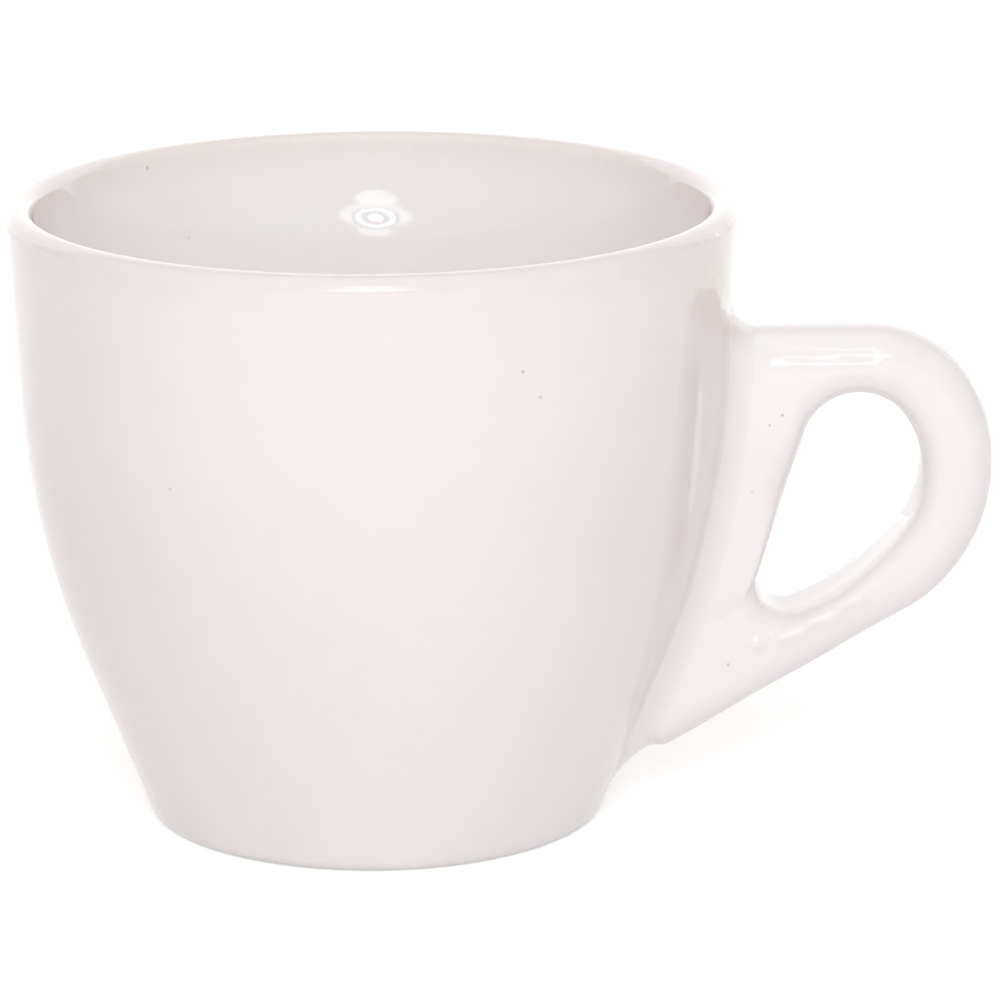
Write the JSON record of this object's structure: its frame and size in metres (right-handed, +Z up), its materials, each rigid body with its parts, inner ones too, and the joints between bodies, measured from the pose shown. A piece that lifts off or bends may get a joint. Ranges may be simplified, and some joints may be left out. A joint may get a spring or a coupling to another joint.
{
  "type": "espresso cup",
  "caption": "White glazed porcelain espresso cup with a tapered bowl, a bare foot ring and a closed loop handle that has a rounded three-cornered finger hole.",
  "frame": {"origin": "on the bowl's axis, in the plane of the foot ring that the cup stands on", "axes": "+Z up along the bowl's axis, +X from the axis towards the handle, so the handle lies in the XZ plane"},
  "size_m": [0.0862, 0.0638, 0.055],
  "materials": {
    "clay": "bare fired porcelain clay, matt",
    "slip": "fired slip, matt",
    "glaze": "glossy warm white glaze with a few specks"
  },
  "bodies": {
    "root": {"bowl": "clay", "handle": "clay", "luting_slip": "slip", "inner_glaze": "glaze", "outer_glaze": "glaze", "handle_glaze": "glaze", "base_glaze": "glaze"}
  },
  "joints": []
}
